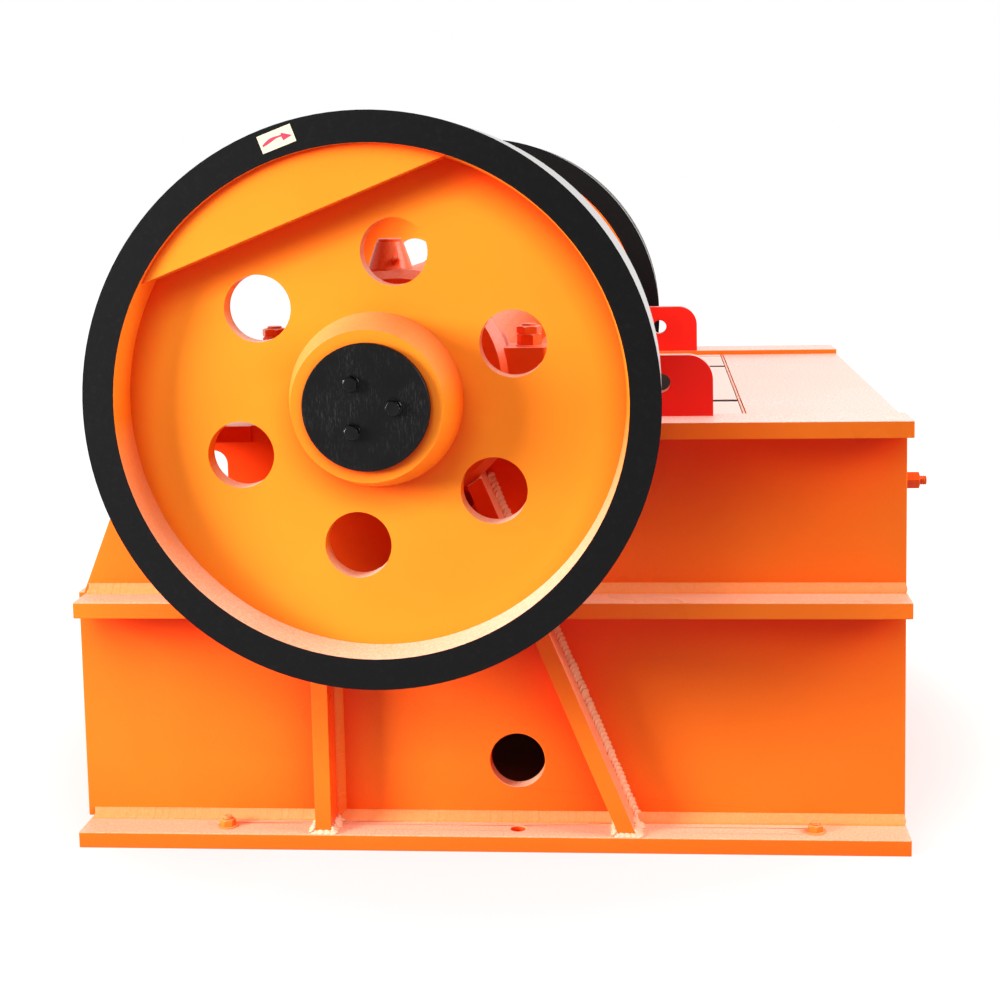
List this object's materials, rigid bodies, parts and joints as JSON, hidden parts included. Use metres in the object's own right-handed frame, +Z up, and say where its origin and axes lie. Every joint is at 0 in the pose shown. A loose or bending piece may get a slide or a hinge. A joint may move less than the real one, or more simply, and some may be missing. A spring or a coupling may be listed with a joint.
{
  "type": "jaw crusher",
  "caption": "Fixed single-toggle jaw crusher: welded plate frame with flanges and ribs, toothed jaws in a feed mouth, and a pair of heavy flywheels on an eccentric shaft.",
  "frame": {"origin": "ground level under the middle of the base", "axes": "+X to the feed end, +Y across to the belt-driven flywheel, +Z up"},
  "size_m": [1.55, 2.122, 1.344],
  "materials": {
    "orange_frame": "gloss orange paint on welded plate",
    "orange_casting": "gloss orange paint on cast steel",
    "red_lug": "gloss red paint",
    "manganese_steel": "as-cast manganese steel",
    "grey_casting": "as-cast grey iron",
    "flywheel_paint": "orange painted casting with black painted rim faces",
    "bare_steel": "turned steel",
    "black_cap": "worn black paint"
  },
  "bodies": {
    "frame": {"side_wall_near": "orange_frame", "side_wall_far": "orange_frame", "base_flange_near": "orange_frame", "base_flange_far": "orange_frame", "mid_flange_near": "orange_frame", "mid_flange_far": "orange_frame", "top_flange_front_near": "orange_frame", "top_flange_front_far": "orange_frame", "top_flange_rear_near": "orange_frame", "top_flange_rear_far": "orange_frame", "vertical_rib_near": "orange_frame", "vertical_rib_far": "orange_frame", "diagonal_rib_lower_near": "orange_frame", "diagonal_rib_lower_far": "orange_frame", "diagonal_rib_upper_near": "orange_frame", "diagonal_rib_upper_far": "orange_frame", "front_plate": "orange_frame", "jaw_backing_plate": "orange_frame", "front_box_rib": "orange_frame", "deck_plate": "orange_frame", "rear_plate_lower": "orange_frame", "toggle_beam": "orange_frame", "bearing_seat_near": "orange_casting", "bearing_seat_far": "orange_casting", "bearing_cap_near": "orange_casting", "bearing_cap_far": "orange_casting", "bearing_cover_near": "orange_casting", "bearing_cover_far": "orange_casting", "lifting_lug_near": "red_lug", "lifting_lug_far": "red_lug", "fixed_jaw_plate_near": "manganese_steel", "fixed_jaw_plate_middle": "manganese_steel", "fixed_jaw_plate_far": "manganese_steel", "swing_jaw": "orange_casting", "swing_jaw_plate": "manganese_steel", "cheek_plate_near": "manganese_steel", "cheek_plate_far": "manganese_steel", "toggle_block": "grey_casting", "toggle_plate": "grey_casting"},
    "rotor": {"eccentric_shaft": "bare_steel", "flywheel_near": "flywheel_paint", "flywheel_far": "flywheel_paint", "end_cap_near": "black_cap", "end_cap_far": "black_cap"}
  },
  "joints": [
    {"name": "flywheel_spin", "type": "hinge", "parent": "frame", "child": "rotor", "pos_m": [-0.141, 0, 0.872], "axis": [0, 1, 0], "continuous": true}
  ]
}
